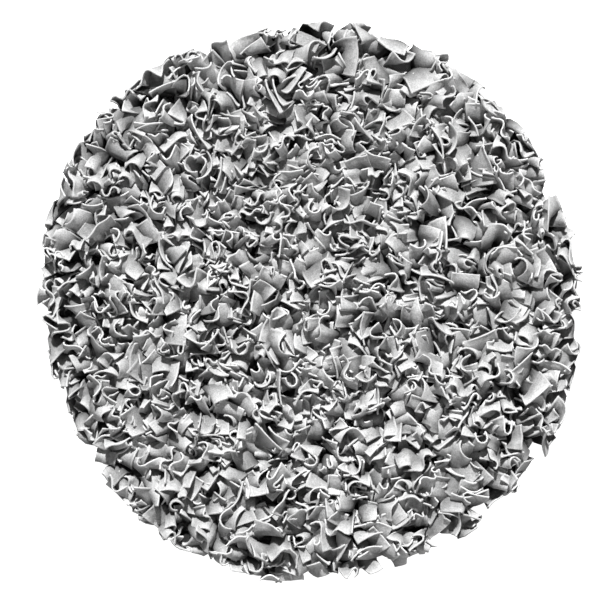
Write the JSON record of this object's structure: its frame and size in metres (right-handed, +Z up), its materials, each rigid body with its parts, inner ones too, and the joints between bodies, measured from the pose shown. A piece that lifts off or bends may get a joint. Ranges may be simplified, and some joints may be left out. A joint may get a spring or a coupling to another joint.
{
  "type": "round shag rug",
  "caption": "Round shag rug: a thick lumpy pile of cut grey jersey strips, with strips standing out all round its rim and a flat underside.",
  "frame": {"origin": "middle of the underside's box, on the floor", "axes": "+Z up out of the pile, +Y towards the top of the picture, +X to its right"},
  "size_m": [0.7076, 0.7286, 0.045],
  "materials": {
    "grey_jersey": "matt cut cotton jersey, light grey, with paler cut edges"
  },
  "bodies": {
    "root": {"shag_pile": "grey_jersey"}
  },
  "joints": []
}
